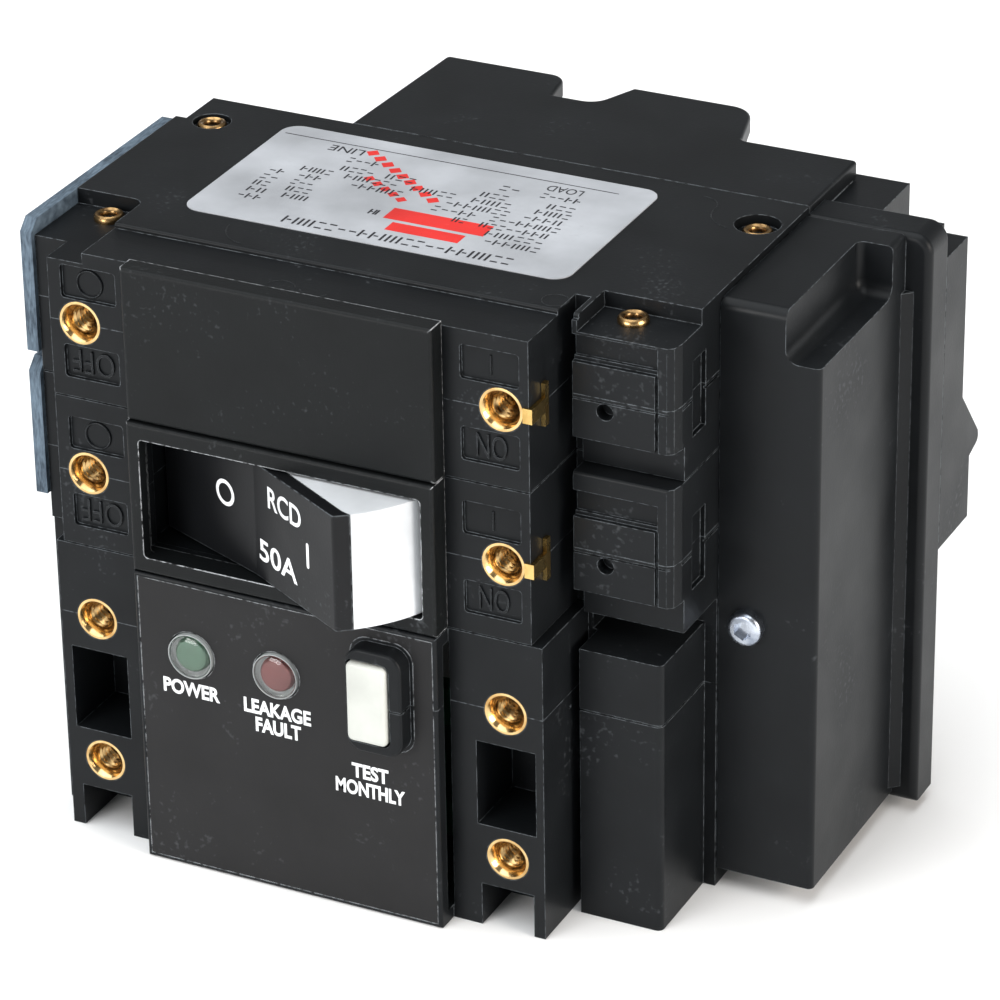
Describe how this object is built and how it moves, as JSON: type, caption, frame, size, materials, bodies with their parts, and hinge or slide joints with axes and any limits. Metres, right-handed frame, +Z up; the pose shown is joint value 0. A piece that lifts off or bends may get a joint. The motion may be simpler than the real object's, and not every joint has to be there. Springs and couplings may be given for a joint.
{
  "type": "residual current device",
  "caption": "Two-pole panel-mounted residual current device: rocker handle, two stacked breaker poles, electronics module with test button and lamps, rear studs.",
  "frame": {"origin": "centre of the eight threaded inserts, on the mounting face that lies against the back of the panel", "axes": "+X along the rocker's travel towards its ON end, +Y into the device, away from the panel, +Z up, the direction in which the poles are stacked"},
  "size_m": [0.0954, 0.0771, 0.0762],
  "materials": {
    "black_moulding": "fine satin moulded thermoset",
    "black_bezel": "satin moulded thermoset",
    "black_rocker": "satin",
    "white_rocker": "satin white",
    "overlay_film": "fine textured film",
    "fibre": "vulcanised fibre sheet",
    "ivory_button": "satin ivory",
    "green_lens": "clear green lens",
    "red_lens": "clear red lens",
    "label": "printed film",
    "brass": "machined",
    "plated_steel": "zinc plated",
    "bare_steel": "stamped",
    "spring_steel": "drawn wire",
    "copper": "bare copper",
    "silver_contact": "silver alloy",
    "grey_insulation": "moulded",
    "sensor_core": "taped core",
    "circuit_board": "glass epoxy laminate",
    "component_black": "moulded"
  },
  "bodies": {
    "housing": {"arc_barriers": "fibre", "arc_chute_a": "bare_steel", "arc_chute_b": "bare_steel", "board_components": "component_black", "board_screws": "plated_steel", "bus_bars": "copper", "button_spring": "spring_steel", "case_rivets": "brass", "circuit_board": "circuit_board", "coil_a": "copper", "coil_b": "copper", "cover_plate": "black_bezel", "current_sensor": "sensor_core", "delay_tube_a": "bare_steel", "delay_tube_b": "bare_steel", "face_overlay": "overlay_film", "fixed_contacts": "silver_contact", "green_lamp": "green_lens", "housing_screw": "plated_steel", "insert_straps": "brass", "line_terminal_a": "copper", "line_terminal_b": "copper", "load_terminal_a": "copper", "load_terminal_b": "copper", "magnet_frame_a": "bare_steel", "magnet_frame_b": "bare_steel", "module_lower_case": "black_moulding", "module_upper_case": "black_moulding", "pole_a_lower_case": "black_moulding", "pole_a_upper_case": "black_moulding", "pole_b_lower_case": "black_moulding", "pole_b_upper_case": "black_moulding", "rating_label": "label", "rear_cover": "black_moulding", "red_lamp": "red_lens", "rocker_axle": "plated_steel", "rocker_bezel": "black_bezel", "sensed_conductors": "copper", "side_housing": "black_moulding", "terminal_nuts": "brass", "terminal_shroud": "black_moulding", "terminal_studs": "plated_steel", "test_contact_block": "grey_insulation", "threaded_inserts": "brass", "trip_solenoid": "copper"},
    "rocker": {"rocker": "black_rocker", "rocker_insert": "white_rocker", "link_pin": "plated_steel"},
    "drive_link": {"drive_link": "plated_steel"},
    "contacts": {"contact_shaft": "grey_insulation", "contact_arm_a": "copper", "contact_arm_b": "copper", "moving_contacts": "silver_contact", "crank_cheeks": "bare_steel", "crank_pin": "plated_steel"},
    "armature_a": {"armature_a": "bare_steel"},
    "armature_b": {"armature_b": "bare_steel"},
    "trip_plunger": {"trip_plunger": "grey_insulation"},
    "test_button": {"test_button": "ivory_button"}
  },
  "joints": [
    {"name": "rocker_tilt", "type": "hinge", "parent": "housing", "child": "rocker", "pos_m": [0, 0.006, 0.00953], "axis": [0, 0, 1], "range_deg": [0, 52]},
    {"name": "link_swing", "type": "hinge", "parent": "rocker", "child": "drive_link", "pos_m": [0.00307, 0.01229, 0.00953], "axis": [0, 0, 1], "range_deg": [-73, 0]},
    {"name": "contacts_close", "type": "hinge", "parent": "housing", "child": "contacts", "pos_m": [0.004, 0.036, 0.00953], "axis": [0, 0, 1], "range_deg": [0, 16.1]},
    {"name": "armature_a_pull", "type": "hinge", "parent": "housing", "child": "armature_a", "pos_m": [-0.0087, 0.0392, 0.02857], "axis": [0, 0, -1], "range_deg": [0, 5.5], "stiffness_Nm_per_rad": 0.02},
    {"name": "armature_b_pull", "type": "hinge", "parent": "housing", "child": "armature_b", "pos_m": [-0.0087, 0.0392, 0.00953], "axis": [0, 0, -1], "range_deg": [0, 5.5], "stiffness_Nm_per_rad": 0.02},
    {"name": "plunger_slide", "type": "slide", "parent": "housing", "child": "trip_plunger", "axis": [-1, 0, 0], "range_m": [0, 0.0009]},
    {"name": "test_button_press", "type": "slide", "parent": "housing", "child": "test_button", "axis": [0, 1, 0], "range_m": [0, 0.0012], "stiffness_N_per_m": 800, "deforming": ["button_spring"]}
  ],
  "couplings": [
    {"joint": "link_swing", "follows": "rocker_tilt", "ratio": -1.383},
    {"joint": "contacts_close", "follows": "rocker_tilt", "ratio": 0.30769},
    {"joint": "plunger_slide", "follows": "armature_b_pull", "m_per_rad": 0.009}
  ]
}
